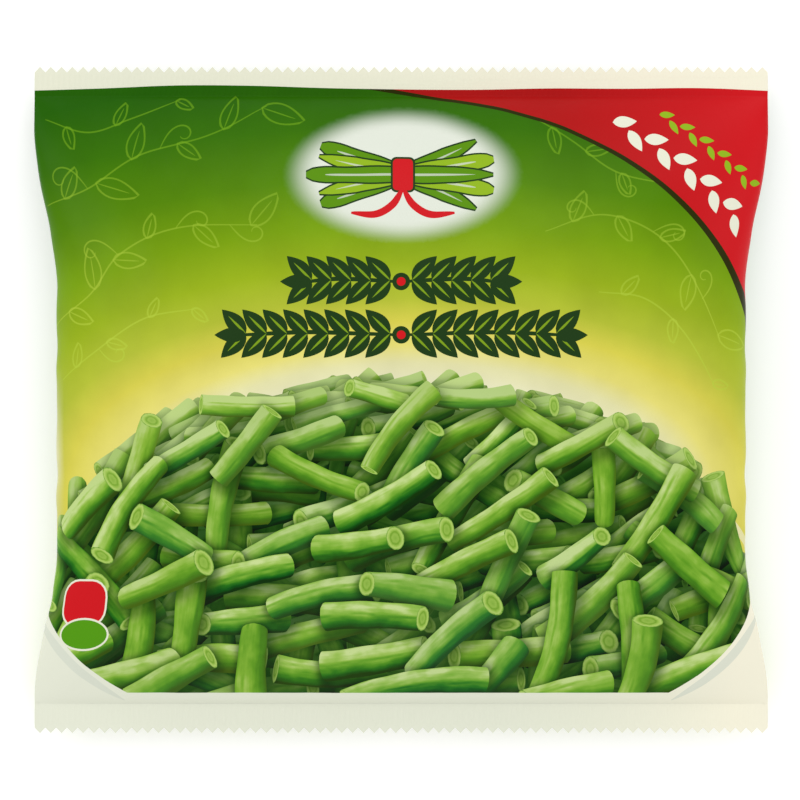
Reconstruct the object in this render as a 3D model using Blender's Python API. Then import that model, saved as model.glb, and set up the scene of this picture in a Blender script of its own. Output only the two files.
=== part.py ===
"""A sealed pillow bag of frozen cut green beans, lying on its back.

Two pieces are built. The film is one printed plastic web, folded into a tube, joined down the
back by a fin, and sealed across at the top and the bottom with zigzag cut edges. The bean pieces
are the filling: cut lengths of pod that lie across each other in a bed inside the film.

Metres, +Z up. The printed front faces up, the top of the bag points to +Y, and the origin is on
the surface that the bag lies on, under the middle of it.
"""

import math
import random

import bmesh
import bpy
from mathutils import Vector

MM = 0.001

# The bag's outside, as it lies filled
SEAL_WIDTH = 220 * MM
WAIST_WIDTH = 206 * MM
BAG_HEIGHT = 200 * MM
BAG_THICKNESS = 44 * MM

# The film's wall is thicker than a real film's 0.09 mm, so that it is a sound solid
WALL = 0.6 * MM
SEAL_HALF_THICKNESS = WALL

# The cross seals
SEAL_BAND = 9 * MM
TOOTH_COUNT = 68
TOOTH_DEPTH = 1.7 * MM
SEAL_LEVEL = 9 * MM
FOLD_LEVEL = 16 * MM

# Where the sides run out from the waist to the seals, measured from the middle of the bag
TOP_FLARE = (33 * MM, 82 * MM)
BOTTOM_FLARE = (45 * MM, 90 * MM)

# How the film bulges over its contents
END_POWER, END_ROUNDNESS = 2.2, 0.85
FRONT_POWER, FRONT_ROUNDNESS = 2.6, 0.55
BACK_POWER, BACK_ROUNDNESS = 3.0, 0.5
BACK_DROP = 21 * MM

# The fin down the back lies in a shallow groove that the contents press round it
FIN_WIDTH = 12 * MM
FIN_GAP = 0.4 * MM
FIN_THICKNESS = 2 * WALL
FIN_ROOT = 0.35 * MM
GROOVE_DEPTH = FIN_GAP + FIN_THICKNESS
GROOVE_SHARE, GROOVE_EDGE_SHARE = 0.08, 0.1

# Pinholes that let the air out when bags are stacked
VENT_RADIUS = 0.8 * MM
VENT_COLUMNS = (28 * MM, 42 * MM, 56 * MM)
VENT_ROW = 72 * MM
VENT_SIDES = 8

# The mesh of the film
ROWS = 24
SIDE_COLUMNS = 10

# The bean pieces
BEAN_RADII = (4.0 * MM, 4.5 * MM)
BEAN_LENGTHS = (27 * MM, 37 * MM)
BEAN_SIDES = 6
BEAN_PITCH = (39 * MM, 13.5 * MM)
BEAN_SKEW = math.radians(13)
LAYER_ANGLES = [math.radians(a) for a in (24, 112, 66, 158, 40)]
LAYER_STEP = 6.9 * MM
BEAN_CLEARANCE = 0.6 * MM
CURVE_CLEARANCE = 1.6 * MM
SEED = 7

SEAL_EDGE = BAG_HEIGHT / 2 - SEAL_BAND
TOOTH_ROOT = BAG_HEIGHT / 2 - TOOTH_DEPTH
FRONT_RISE = BAG_THICKNESS - FOLD_LEVEL - SEAL_HALF_THICKNESS
INNER_SIDE = 0.8 * MM
INNER_END = 1.0 * MM
INNER_HALF_SLOT = 0.15 * MM


def clear_scene():
    for obj in list(bpy.data.objects):
        bpy.data.objects.remove(obj, do_unlink=True)


def make_material(name, colour, roughness):
    material = bpy.data.materials.new(name)
    material.use_nodes = True
    shader = material.node_tree.nodes["Principled BSDF"]
    shader.inputs["Base Color"].default_value = (*colour, 1)
    shader.inputs["Roughness"].default_value = roughness
    shader.inputs["Metallic"].default_value = 0
    return material


def object_from_bmesh(name, bm, material):
    bmesh.ops.recalc_face_normals(bm, faces=bm.faces)
    mesh = bpy.data.meshes.new(name)
    bm.to_mesh(mesh)
    bm.free()
    mesh.materials.append(material)
    obj = bpy.data.objects.new(name, mesh)
    bpy.context.scene.collection.objects.link(obj)
    return obj


def bulge(share, power, roundness):
    """1 in the middle, 0 at a share of 1 or -1, on a superellipse."""
    return max(0.0, 1 - abs(share) ** power) ** roundness


def half_width(y):
    """The bag's half width, from the waist out to the seals."""
    start, end = TOP_FLARE if y > 0 else BOTTOM_FLARE
    t = min(1.0, max(0.0, (abs(y) - start) / (end - start)))
    flare = t * t * (3 - 2 * t)
    return (WAIST_WIDTH + (SEAL_WIDTH - WAIST_WIDTH) * flare) / 2


def fold_level(fullness):
    """The height of the side folds: low at the seals, higher at the waist."""
    return SEAL_LEVEL + (FOLD_LEVEL - SEAL_LEVEL) * fullness


def groove(share):
    """How much of the fin's groove there is at this share of the half width."""
    t = (GROOVE_EDGE_SHARE - abs(share)) / (GROOVE_EDGE_SHARE - GROOVE_SHARE)
    return min(1.0, max(0.0, t))


def front_height(share, y, inset=0.0, half_slot=SEAL_HALF_THICKNESS, end=SEAL_EDGE):
    """Height of the front film. The inset moves it inwards for the film's inner face."""
    fullness = bulge(y / end, END_POWER, END_ROUNDNESS)
    rise = (FRONT_RISE - inset) * fullness * bulge(share, FRONT_POWER, FRONT_ROUNDNESS)
    return fold_level(fullness) + half_slot + rise


def back_height(share, y, inset=0.0, half_slot=SEAL_HALF_THICKNESS, end=SEAL_EDGE):
    """Height of the back film, which the surface flattens."""
    fullness = bulge(y / end, END_POWER, END_ROUNDNESS)
    drop = (BACK_DROP - inset) * fullness * bulge(share, BACK_POWER, BACK_ROUNDNESS)
    free = fold_level(fullness) - half_slot - drop
    floor = inset + GROOVE_DEPTH * groove(share)
    return max(free, floor)


def column_shares():
    """Columns across the bag, close together at the sides, with the groove's edges among them."""
    side = [
        GROOVE_EDGE_SHARE + (1 - GROOVE_EDGE_SHARE) * math.sin(math.pi / 2 * i / SIDE_COLUMNS)
        for i in range(1, SIDE_COLUMNS + 1)
    ]
    half = [GROOVE_SHARE, GROOVE_EDGE_SHARE, *side]
    return [-s for s in reversed(half)] + half


def row_positions(end):
    """Rows along the bag from bottom to top, closer together towards the seals."""
    return [end * math.sin(math.pi / 2 * (2 * j / ROWS - 1)) for j in range(ROWS + 1)]


def tube_grid(bm, shares, end, **offsets):
    """The front and back vertices of one face of the film, a list of rows each."""
    side = offsets.pop("side", 0.0)
    front, back = [], []
    for y in row_positions(end):
        width = half_width(y) - side
        front.append([
            bm.verts.new((width * s, y, front_height(s, y, end=end, **offsets))) for s in shares
        ])
        back.append([
            bm.verts.new((width * s, y, back_height(s, y, end=end, **offsets))) for s in shares
        ])
    return front, back


def skin(bm, front, back):
    """Faces over the front and the back and along both sides."""
    for upper, lower in ((front, front[1:]), (back, back[1:])):
        for row, following in zip(upper, lower):
            for i in range(len(row) - 1):
                bm.faces.new((row[i], row[i + 1], following[i + 1], following[i]))
    for j in range(len(front) - 1):
        for i in (0, -1):
            bm.faces.new((front[j][i], front[j + 1][i], back[j + 1][i], back[j][i]))


def zigzag(direction):
    """The cut edge of a seal, from -X to +X: points (x, y)."""
    step = SEAL_WIDTH / TOOTH_COUNT / 2
    points = []
    for k in range(2 * TOOTH_COUNT + 1):
        reach = BAG_HEIGHT / 2 if k % 2 else TOOTH_ROOT
        points.append((-SEAL_WIDTH / 2 + k * step, direction * reach))
    return points


def seal(bm, front_row, back_row, direction):
    """The flat seal beyond the last row, out to its zigzag edge."""
    cut = zigzag(direction)
    upper = [bm.verts.new((x, y, SEAL_LEVEL + SEAL_HALF_THICKNESS)) for x, y in cut]
    lower = [bm.verts.new((x, y, SEAL_LEVEL - SEAL_HALF_THICKNESS)) for x, y in cut]
    for row, edge in ((front_row, upper), (back_row, lower)):
        bm.faces.new([*row, *reversed(edge)])
    for k in range(len(cut) - 1):
        bm.faces.new((upper[k], upper[k + 1], lower[k + 1], lower[k]))
    for i in (0, -1):
        bm.faces.new((front_row[i], upper[i], lower[i], back_row[i]))


def build_film_shell(material):
    """The tube with its two cross seals: an outer face, and an inner face round the filling."""
    shares = column_shares()
    outer = bmesh.new()
    front, back = tube_grid(outer, shares, SEAL_EDGE)
    skin(outer, front, back)
    seal(outer, front[-1], back[-1], 1)
    seal(outer, front[0], back[0], -1)
    return object_from_bmesh("film", outer, material)


def build_hollow(material):
    """The space that the film encloses, which is cut out of it."""
    shares = column_shares()
    inner = bmesh.new()
    front, back = tube_grid(
        inner,
        shares,
        SEAL_EDGE - INNER_END,
        inset=WALL,
        half_slot=INNER_HALF_SLOT,
        side=INNER_SIDE,
    )
    skin(inner, front, back)
    for j in (0, -1):
        inner.faces.new([*front[j], *reversed(back[j])])
    return object_from_bmesh("hollow", inner, material)


def build_fin(material):
    """The fin: both edges of the web sealed together, folded flat along the back."""
    left, right = -FIN_WIDTH / 2, FIN_WIDTH / 2
    root = left + FIN_THICKNESS
    top, bottom = -FIN_GAP, -FIN_GAP - FIN_THICKNESS
    section = [
        (left, FIN_ROOT),
        (root, FIN_ROOT),
        (root, top),
        (right, top),
        (right, bottom),
        (left, bottom),
    ]
    bm = bmesh.new()
    rings = []
    for y in (-TOOTH_ROOT, *row_positions(SEAL_EDGE), TOOTH_ROOT):
        inside = max(-SEAL_EDGE, min(SEAL_EDGE, y))
        level = back_height(0.0, inside)
        rings.append([bm.verts.new((x, y, level + z)) for x, z in section])
    for ring, following in zip(rings, rings[1:]):
        for i in range(len(section)):
            j = (i + 1) % len(section)
            bm.faces.new((ring[i], ring[j], following[j], following[i]))
    bm.faces.new(rings[0])
    bm.faces.new(rings[-1])
    return object_from_bmesh("fin", bm, material)


def build_vent(x, material):
    """A pinhole through the back film, where it rises from the surface towards the top seal."""
    level = back_height(x / half_width(VENT_ROW), VENT_ROW)
    bm = bmesh.new()
    bmesh.ops.create_cone(
        bm,
        cap_ends=True,
        segments=VENT_SIDES,
        radius1=VENT_RADIUS,
        radius2=VENT_RADIUS,
        depth=6 * WALL,
    )
    bmesh.ops.translate(bm, verts=bm.verts, vec=(x, VENT_ROW, level))
    return object_from_bmesh("vent", bm, material)


def combine(target, operation, tools, solver="EXACT"):
    """Joins or cuts the target with the tools in one Boolean, applies it and drops the tools."""
    collection = bpy.data.collections.new("tools")
    bpy.context.scene.collection.children.link(collection)
    for tool in tools:
        bpy.context.scene.collection.objects.unlink(tool)
        collection.objects.link(tool)
    modifier = target.modifiers.new("combine", "BOOLEAN")
    modifier.operation = operation
    modifier.operand_type = "COLLECTION"
    modifier.collection = collection
    modifier.solver = solver
    graph = bpy.context.evaluated_depsgraph_get()
    made = bpy.data.meshes.new_from_object(target.evaluated_get(graph))
    target.modifiers.clear()
    target.data = made
    for tool in tools:
        bpy.data.objects.remove(tool, do_unlink=True)
    bpy.data.collections.remove(collection)


def build_film():
    film_material = make_material("printed_film", (0.30, 0.55, 0.06), 0.35)
    film = build_film_shell(film_material)
    combine(film, "UNION", [build_fin(film_material)])
    cutters = [build_hollow(film_material)]
    cutters += [build_vent(x, film_material) for x in VENT_COLUMNS]
    combine(film, "DIFFERENCE", cutters)
    film.data.shade_smooth()
    film.data.set_sharp_from_angle(angle=math.radians(35))
    return film


def in_hollow(point):
    """True if the point is inside the film, clear of it by the beans' clearance."""
    x, y, z = point
    if abs(y) > SEAL_EDGE - 2 * INNER_END:
        return False
    share = abs(x) / (half_width(y) - INNER_SIDE - CURVE_CLEARANCE)
    if share > 1:
        return False
    floor = back_height(share, y, WALL) + BEAN_CLEARANCE
    ceiling = front_height(share, y, WALL) - CURVE_CLEARANCE
    return floor < z < ceiling


def around(start, end, radius):
    """Points on the surface of a cut bean between two ends, for testing its fit."""
    along = (end - start).normalized()
    across = along.cross(Vector((0, 0, 1))).normalized()
    up = across.cross(along)
    for t in (0, 0.25, 0.5, 0.75, 1):
        for k in range(8):
            angle = math.tau * k / 8
            out = across * math.cos(angle) + up * math.sin(angle)
            yield start.lerp(end, t) + out * radius


def lay_beans():
    """Bean pieces as (start, end, radius), in crossing layers that fill the film."""
    draw = random.Random(SEED)
    placed = []
    for layer, angle in enumerate(LAYER_ANGLES):
        level = WALL + BEAN_CLEARANCE + BEAN_RADII[1] + layer * LAYER_STEP
        along = Vector((math.cos(angle), math.sin(angle), 0))
        across = Vector((-along.y, along.x, 0))
        reach = range(-12, 13)
        for row in reach:
            for column in reach:
                stagger = 0.5 * (row % 2)
                centre = along * (column + stagger) * BEAN_PITCH[0] + across * row * BEAN_PITCH[1]
                turn = angle + draw.uniform(-BEAN_SKEW, BEAN_SKEW)
                length = draw.uniform(*BEAN_LENGTHS)
                radius = draw.uniform(*BEAN_RADII)
                shift = Vector((draw.uniform(-2, 2), draw.uniform(-1.5, 1.5), 0)) * MM
                half = Vector((math.cos(turn), math.sin(turn), draw.uniform(-0.05, 0.05)))
                half *= length / 2
                middle = centre + shift + Vector((0, 0, level))
                for raised in (0, 1.2 * MM, 2.0 * MM):
                    lift = Vector((0, 0, raised))
                    start, end = middle - half + lift, middle + half + lift
                    if all(in_hollow(p) for p in around(start, end, radius)):
                        placed.append((start, end, radius))
                        break
    return placed


def keep_largest_body(obj):
    """Drops what doesn't hang together with the rest: a loose bean can't share the node."""
    bm = bmesh.new()
    bm.from_mesh(obj.data)
    waiting = set(bm.verts)
    bodies = []
    while waiting:
        body, edge = set(), [waiting.pop()]
        while edge:
            vert = edge.pop()
            body.add(vert)
            for other in (e.other_vert(vert) for e in vert.link_edges):
                if other in waiting:
                    waiting.discard(other)
                    edge.append(other)
        bodies.append(body)
    largest = max(bodies, key=len)
    loose = [v for body in bodies if body is not largest for v in body]
    bmesh.ops.delete(bm, geom=loose, context="VERTS")
    bm.to_mesh(obj.data)
    bm.free()


def build_bean(name, start, end, radius, material):
    """One cut bean: a slightly tapered length of pod with flat ends."""
    along = end - start
    bm = bmesh.new()
    bmesh.ops.create_cone(
        bm,
        cap_ends=True,
        segments=BEAN_SIDES,
        radius1=radius,
        radius2=radius * 0.93,
        depth=along.length,
    )
    turn = along.to_track_quat("Z", "Y").to_matrix().to_4x4()
    bmesh.ops.transform(bm, matrix=turn, verts=bm.verts)
    bmesh.ops.translate(bm, verts=bm.verts, vec=(start + end) / 2)
    return object_from_bmesh(name, bm, material)


def build_beans():
    material = make_material("bean_green", (0.16, 0.36, 0.05), 0.5)
    pieces = [
        build_bean("bean_pieces" if i == 0 else "bean", *bean, material)
        for i, bean in enumerate(lay_beans())
    ]
    combine(pieces[0], "UNION", pieces[1:])
    keep_largest_body(pieces[0])
    pieces[0].data.set_sharp_from_angle(angle=math.radians(35))
    return pieces[0]


def main():
    clear_scene()
    build_film()
    build_beans()


main()
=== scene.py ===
"""The looks of a sealed pillow bag of frozen cut green beans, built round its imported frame.

The film's two faces and its fin are fine sheets that follow the solids' form. What is printed on
them is cut into their meshes as outlines, so that each printed edge is sharp. A bean in the
printed heap carries its own coordinates, along it and across it, and the film's material shades
it from them. Lengths are in millimetres until a mesh is made.
"""

import random
from math import asin, atan2, ceil, copysign, cos, degrees, dist, hypot, pi, radians, sin
from math import sqrt, tau

import bpy
import numpy as np
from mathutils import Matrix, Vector
from mathutils.geometry import delaunay_2d_cdt


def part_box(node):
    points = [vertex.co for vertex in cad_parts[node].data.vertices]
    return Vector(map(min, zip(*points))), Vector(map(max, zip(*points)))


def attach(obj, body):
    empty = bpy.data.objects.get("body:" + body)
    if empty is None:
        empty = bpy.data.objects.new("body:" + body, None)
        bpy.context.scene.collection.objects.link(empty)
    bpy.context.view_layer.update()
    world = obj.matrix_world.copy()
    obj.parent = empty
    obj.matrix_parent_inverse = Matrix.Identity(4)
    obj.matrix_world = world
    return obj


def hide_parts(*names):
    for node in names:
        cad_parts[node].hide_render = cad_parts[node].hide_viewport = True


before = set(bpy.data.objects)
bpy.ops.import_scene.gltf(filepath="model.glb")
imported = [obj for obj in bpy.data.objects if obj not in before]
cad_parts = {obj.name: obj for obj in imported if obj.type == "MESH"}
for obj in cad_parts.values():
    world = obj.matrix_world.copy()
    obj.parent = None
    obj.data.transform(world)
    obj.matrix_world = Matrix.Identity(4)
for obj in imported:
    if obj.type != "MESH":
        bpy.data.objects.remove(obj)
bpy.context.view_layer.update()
film_low, film_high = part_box("film")

MM = 0.001

# The bag's outside, from the frame, and the form that the solids give it
SEAL_WIDTH = (film_high.x - film_low.x) / MM
BAG_HEIGHT = (film_high.y - film_low.y) / MM
BAG_THICKNESS = (film_high.z - film_low.z) / MM
WAIST_WIDTH = 206
SEAL_LEVEL = 9
FOLD_LEVEL = 16
TOP_FLARE = (33, 82)
BOTTOM_FLARE = (45, 90)
END_POWER, END_ROUNDNESS = 2.2, 0.85
FRONT_POWER, FRONT_ROUNDNESS = 2.6, 0.55
BACK_POWER, BACK_ROUNDNESS = 3.0, 0.5
BACK_DROP = 21
SEAL_BAND = 9
TOOTH_COUNT = 68
TOOTH_DEPTH = 1.7
FIN_WIDTH = 12
VENT_RADIUS = 0.8
VENT_COLUMNS = (28, 42, 56)
VENT_ROW = 72

HALF_FLAT = SEAL_WIDTH / 2
SEAL_EDGE = BAG_HEIGHT / 2 - SEAL_BAND
TOOTH_ROOT = BAG_HEIGHT / 2 - TOOTH_DEPTH
FRONT_RISE = BAG_THICKNESS - FOLD_LEVEL

# The UV map: the length of its side on the print, and where the print, the inner side, which is
# squeezed, and the rims lie
PRINT_TILE = 2 * HALF_FLAT * 1.02
PRINT_MIDDLE = (0.5, 0.46)
INNER_SQUEEZE = (1, 0.05)
INNER_MIDDLE = (0.5, 0.97)
RIM_PLACE = (0.5, 0.99)

# The film as it is shown: its thickness, and the room that its layers need
FILM = 0.16
INNER_ROOM = 0.2
LAYER = 0.22
GROOVE_DEPTH = 0.7
GROOVE_SHARE, GROOVE_EDGE_SHARE = 0.065, 0.1

# Mesh spacing
COARSE_STEP = 1.5
HEAP_STEP = 1.0
EDGE_STEP = 1.6
INNER_STEP = 1.6
CRIMP_PITCH = SEAL_WIDTH / TOOTH_COUNT / 2
CRIMP_HEIGHT = 0.06
SEAL_ROWS = (-1, -0.5, 0, 0.4, 0.8, 1.2, 2.4, 3.6, 4.8, 6.0, 7.0, 7.4)
FIN_ROW_STEP = 1.0
FIN_LIFT = 0.3
FIN_ROOT = 1.2
SLOPE_STEP = 0.05
EDGE_MARGIN = 0.3

# The printed heap, the plate under it and the light on it
HEAP_FLOOR = -87.7
LOWEST_BEAN = -88.2
PLATE_MIDDLE = (-1, -56.5)
PLATE_HALF = (106, 48.5)
HEAP_SIDE = 109
HEAP_TOP = 7.5
HEAP_MIDDLE = (-3, -48)
HEAP_HALF = 106
HEAP_LAYERS = ((6.8, 3000), (9.2, 2600), (12.6, 2400))
LAYER_LIGHT = (0.4, 0.78, 1.0)
LEANS = ((0.45, 0.62, 0.28), (0.65, -0.4, 0.3), (0.8, 0.05, 0.14), (1.0, 1.5, 0.25))
TILTS = (0.2, 0.32, 0.45, 0.55, 0.68)
RADII, LENGTHS, BENDS = (3.6, 4.5), (27, 45), (0.001, 0.012)
SIZE_LEVELS, SIZES = (-70, -20, 10), (1.0, 0.88, 0.62)
SHADES = ((1.7, 2.4, 0.55), (0.0, 1.0, 0.42))
SHADE_REACH = 7
LEAST_LIGHT = 0.1
FAR_DEPTH, FAR_FADE, FAR_SHADE_LIFT = 17, 21, 0.5
CORE_MARGIN = (9, 7)
CORE_SHOULDER = (HEAP_SIDE - 5, -54)
CORE_FLOOR = HEAP_FLOOR - 4
PRINT_LIGHT = np.array((-0.45, 0.9)) / hypot(0.45, 0.9)


def linear(red, green, blue):
    """A display colour, 0 to 255, as linear light."""
    return tuple(
        c / 12.92 if c <= 0.04045 else ((c + 0.055) / 1.055) ** 2.4
        for c in (red / 255, green / 255, blue / 255)
    )


# How much light a white surface sends back, and the sheen over it: inks are stated as they look
LIGHT_LEVEL = 1.14
SHEEN = 0.006


def ink(red, green, blue):
    return np.clip(np.array(linear(red, green, blue)) - SHEEN, 0, None) / LIGHT_LEVEL


WHITE = ink(241, 242, 220)
WARM_WHITE = ink(255, 251, 228)
LOW_WHITE = ink(239, 242, 223)
BACK_INKS = np.array([ink(190, 204, 66), ink(150, 180, 36), ink(98, 146, 16), ink(46, 103, 10)])
HAZE = ink(214, 230, 142)
PALE = ink(222, 228, 212)
# Pale cream for the printed plate's rim, and for the painted highlight on the film's left edge
PLATE_GLOW_AND_EDGE_HIGHLIGHT = ink(246, 243, 214)
DARK_GREEN = ink(40, 66, 33)
MID_GREEN = ink(96, 150, 24)
LIME = ink(152, 190, 40)
RED = ink(216, 34, 40)
DEEP_RED = ink(182, 31, 31)
OLIVE = ink(48, 50, 18)
GAP = ink(30, 62, 16)
BADGE_GREEN = ink(90, 160, 30)
PANEL = ink(238, 240, 216)
MEDALLION_WHITE = ink(236, 241, 228)
LINE_GREEN = ink(120, 174, 36)
LINE_LIME = ink(190, 214, 70)
LINE_WIDTH = 0.5
LINE_COVER = 0.5


# The form of the film


def unit(values):
    """Values cut off at 0 and 1."""
    return np.clip(values, 0, 1)


def bulge(share, power, roundness):
    """1 in the middle, 0 at a share of 1 or -1, on a superellipse."""
    return np.clip(1 - np.abs(share) ** power, 0, None) ** roundness


def half_width(y):
    start = np.where(y > 0, TOP_FLARE[0], BOTTOM_FLARE[0])
    end = np.where(y > 0, TOP_FLARE[1], BOTTOM_FLARE[1])
    t = unit((np.abs(y) - start) / (end - start))
    return (WAIST_WIDTH + (SEAL_WIDTH - WAIST_WIDTH) * t * t * (3 - 2 * t)) / 2


def fullness(y):
    return bulge(y / SEAL_EDGE, END_POWER, END_ROUNDNESS)


def fold_level(full):
    return SEAL_LEVEL + (FOLD_LEVEL - SEAL_LEVEL) * full


def arc_table(profile):
    """For a cross-section at the waist: the share of its arc against the share of its width."""
    shares = np.sin(np.linspace(0, pi / 2, 400))
    x, z = shares * WAIST_WIDTH / 2, profile(shares)
    steps = np.hypot(np.diff(x), np.diff(z))
    arc = np.concatenate([[0], np.cumsum(steps)])
    return arc / arc[-1], shares


FRONT_ARC = arc_table(lambda s: FRONT_RISE * bulge(s, FRONT_POWER, FRONT_ROUNDNESS))
BACK_ARC = arc_table(
    lambda s: np.minimum(BACK_DROP * bulge(s, BACK_POWER, BACK_ROUNDNESS), FOLD_LEVEL)
)


def width_share(u, full, arc):
    """The share of the bag's half width at u, the place across the film laid flat."""
    flat = unit(np.abs(u) / HALF_FLAT)
    return np.sign(u) * ((1 - full) * flat + full * np.interp(flat, *arc))


def across_film(x, y, arc=FRONT_ARC):
    """The place across the flat film of a point that is seen at x from above."""
    steps = np.linspace(0, HALF_FLAT, 300)
    seen = half_width(y) * width_share(steps, fullness(y), arc)
    return copysign(float(np.interp(abs(x), seen, steps)), x)


def onto_film(x, y):
    """The place on the flat film of a point seen from above, also of one past the bag's edge."""
    edge = float(half_width(y)) - EDGE_MARGIN
    within = max(-edge, min(edge, x))
    return across_film(within, y) + x - within, y


def front_form(u, y):
    full = fullness(y)
    share = width_share(u, full, FRONT_ARC)
    rise = FRONT_RISE * full * bulge(share, FRONT_POWER, FRONT_ROUNDNESS)
    z = fold_level(full) + LAYER * (1 - full) + rise
    return np.stack([half_width(y) * share, y, z], axis=-1)


def back_form(u, y):
    full = fullness(y)
    share = width_share(u, full, BACK_ARC)
    drop = BACK_DROP * full * bulge(share, BACK_POWER, BACK_ROUNDNESS)
    free = fold_level(full) - LAYER * (1 - full) - drop
    groove = unit((GROOVE_EDGE_SHARE - np.abs(share)) / (GROOVE_EDGE_SHARE - GROOVE_SHARE))
    z = np.maximum(free, GROOVE_DEPTH * groove)
    return np.stack([half_width(y) * share, y, z], axis=-1)


def slope(form, u, y):
    """The unit normal of a form, on the side that faces up."""
    u = np.clip(u, SLOPE_STEP - HALF_FLAT, HALF_FLAT - SLOPE_STEP)
    along_u = form(u + SLOPE_STEP, y) - form(u - SLOPE_STEP, y)
    along_y = form(u, y + SLOPE_STEP) - form(u, y - SLOPE_STEP)
    normal = np.cross(along_u, along_y)
    return normal / np.linalg.norm(normal, axis=-1, keepdims=True)


# Wrinkles


def waves(seed, count, lengths, lean=pi):
    """A smooth irregular field with values from about -1 to 1, from waves of these lengths."""
    draw = np.random.default_rng(seed)
    angle = draw.uniform(-lean, lean, count)
    number = tau / draw.uniform(*lengths, count)
    phase = draw.uniform(0, tau, count)

    def field(u, y):
        total = np.zeros(np.shape(u))
        for a, k, p in zip(angle, number, phase):
            total += np.sin(k * (u * cos(a) + y * sin(a)) + p)
        return total / sqrt(count)

    return field


LUMPS = waves(3, 14, (13, 30))
BACK_LUMPS = waves(4, 14, (12, 28))
PUCKERS = waves(5, 5, (9, 19), lean=0)
PUCKER_REACH = 7
PUCKER_HEIGHT = 0.3
LUMP_HEIGHT = 0.22
PLEAT_END = 102
# Where the ribs start and end, outward from a seal's inner edge
CRIMPED = (0.4, 7.0)


def make_pleats(seed):
    """Pleats that run into the bag from a seal: place, half width, height, lean, reach."""
    draw = random.Random(seed)
    pleats = []
    for side in (-1, 1):
        place = -PLEAT_END
        while place < PLEAT_END:
            lean = place / PLEAT_END * 0.55 + draw.uniform(-0.15, 0.15)
            height = draw.uniform(0.15, 0.42) * draw.choice((-0.6, 1))
            pleats.append((side, place, draw.uniform(1.6, 3.4), height, lean, draw.uniform(4, 9)))
            place += draw.uniform(7, 17)
    return pleats


FRONT_PLEATS = make_pleats(11)
BACK_PLEATS = make_pleats(12)


def wrinkles(u, y, lumps, pleats, facing):
    """How far the film stands out from its form."""
    full = fullness(y)
    depth = SEAL_EDGE - np.abs(y)
    height = LUMP_HEIGHT * lumps(u, y) * full * bulge(u / HALF_FLAT, 8, 1)
    side_reach = np.exp(-(HALF_FLAT - np.abs(u)) / PUCKER_REACH)
    height += PUCKER_HEIGHT * PUCKERS(y, np.sign(u) * 40) * side_reach * full
    for side, place, width, tall, lean, reach in pleats:
        inward = np.clip(np.where(y * side > 0, depth, 0), 0, None)
        offset = (u - place + lean * inward) / (width * (1 + inward / 20))
        growth = inward / reach * np.exp(1 - inward / reach)
        height += tall * np.exp(-offset * offset) * growth**2
    height *= np.clip(depth / 12, 0.35, 1)
    in_seal = unit((-depth - CRIMPED[0]) / 0.8) * unit((depth + CRIMPED[1]) / 0.8)
    height += facing * CRIMP_HEIGHT * in_seal * np.sin(tau * u / CRIMP_PITCH)
    return height


def front_face(u, y):
    base = front_form(u, y)
    return base + slope(front_form, u, y) * wrinkles(u, y, LUMPS, FRONT_PLEATS, 1)[..., None]


def back_face(u, y):
    base = back_form(u, y)
    height = wrinkles(u, y, BACK_LUMPS, BACK_PLEATS, -1)
    point = base - slope(back_form, u, y) * height[..., None]
    point[..., 2] = np.maximum(point[..., 2], np.minimum(base[..., 2], 0.0))
    return point


# Outlines in the flat film: arrays of (u, y)


def rounded(middle, half_size, radius, steps=5):
    """A rectangle with round corners."""
    points = []
    for quarter, (sx, sy) in enumerate(((1, 1), (-1, 1), (-1, -1), (1, -1))):
        for k in range(steps + 1):
            angle = pi / 2 * (quarter + k / steps)
            x = middle[0] + sx * (half_size[0] - radius) + radius * cos(angle)
            y = middle[1] + sy * (half_size[1] - radius) + radius * sin(angle)
            points.append((x, y))
    return np.array(points)


def ellipse(middle, half_size, steps=40):
    angle = np.arange(steps) * tau / steps
    return np.stack([np.cos(angle), np.sin(angle)], axis=1) * half_size + middle


def ribbon(line, width, tip=1.0):
    """A line with a width, which thins towards both ends down to tip times the width."""
    line = np.asarray(line, float)
    along = np.gradient(line, axis=0)
    along /= np.linalg.norm(along, axis=1, keepdims=True)
    across = np.stack([-along[:, 1], along[:, 0]], axis=1)
    t = np.linspace(-1, 1, len(line))
    half = (width / 2 * (tip + (1 - tip) * (1 - np.abs(t) ** 3)))[:, None]
    return np.concatenate([line + across * half, (line - across * half)[::-1]])


def curve(points, steps=16):
    """A smooth line through a few points."""
    p = np.array(points, float)
    p = np.concatenate([[2 * p[0] - p[1]], p, [2 * p[-1] - p[-2]]])
    line = []
    for a, b, c, d in zip(p, p[1:], p[2:], p[3:]):
        for t in np.linspace(0, 1, steps, endpoint=False):
            line.append(
                0.5 * (2 * b + (c - a) * t + (2 * a - 5 * b + 4 * c - d) * t**2)
                + 0.5 * (3 * b - a - 3 * c + d) * t**3
            )
    line.append(p[-2])
    return np.array(line)


def heading(angle):
    """A step of 1 in a direction."""
    return np.array((cos(angle), sin(angle)))


def leaf(root, angle, length, width, grow=0.0, steps=12):
    """A pointed leaf that grows from its root. grow widens its outline all round."""
    t = np.linspace(0, 1, steps)
    half = width / 2 * np.sin(pi * t**0.8) ** 0.9 + grow
    s = -grow + t * (length + 2 * grow)
    x = np.concatenate([s, s[-2:0:-1]])
    y = np.concatenate([half * (t > 0), -half[-2:0:-1]])
    along = heading(angle)
    return root + np.outer(x, along) + np.outer(y, (-along[1], along[0]))


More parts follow.
